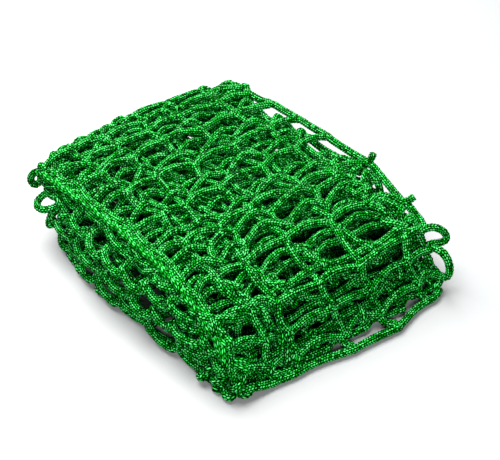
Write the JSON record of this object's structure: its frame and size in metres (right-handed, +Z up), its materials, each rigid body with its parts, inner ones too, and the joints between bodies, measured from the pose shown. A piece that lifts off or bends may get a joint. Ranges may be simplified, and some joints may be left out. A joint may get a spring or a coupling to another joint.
{
  "type": "folded goal net",
  "caption": "Goal net of thick braided cord with a square mesh, folded back and forth into a low packet whose loose end drapes down one side to the floor.",
  "frame": {"origin": "on the floor under the middle of the packet's bounding box", "axes": "+X along the fold's layers towards the draped loose end, +Y across the layers away from the heavy selvedge, +Z up from the floor"},
  "size_m": [0.295, 0.2356, 0.0626],
  "materials": {
    "cord": "braided synthetic cord, faintly glossy"
  },
  "bodies": {
    "root": {"net": "cord"}
  },
  "joints": []
}
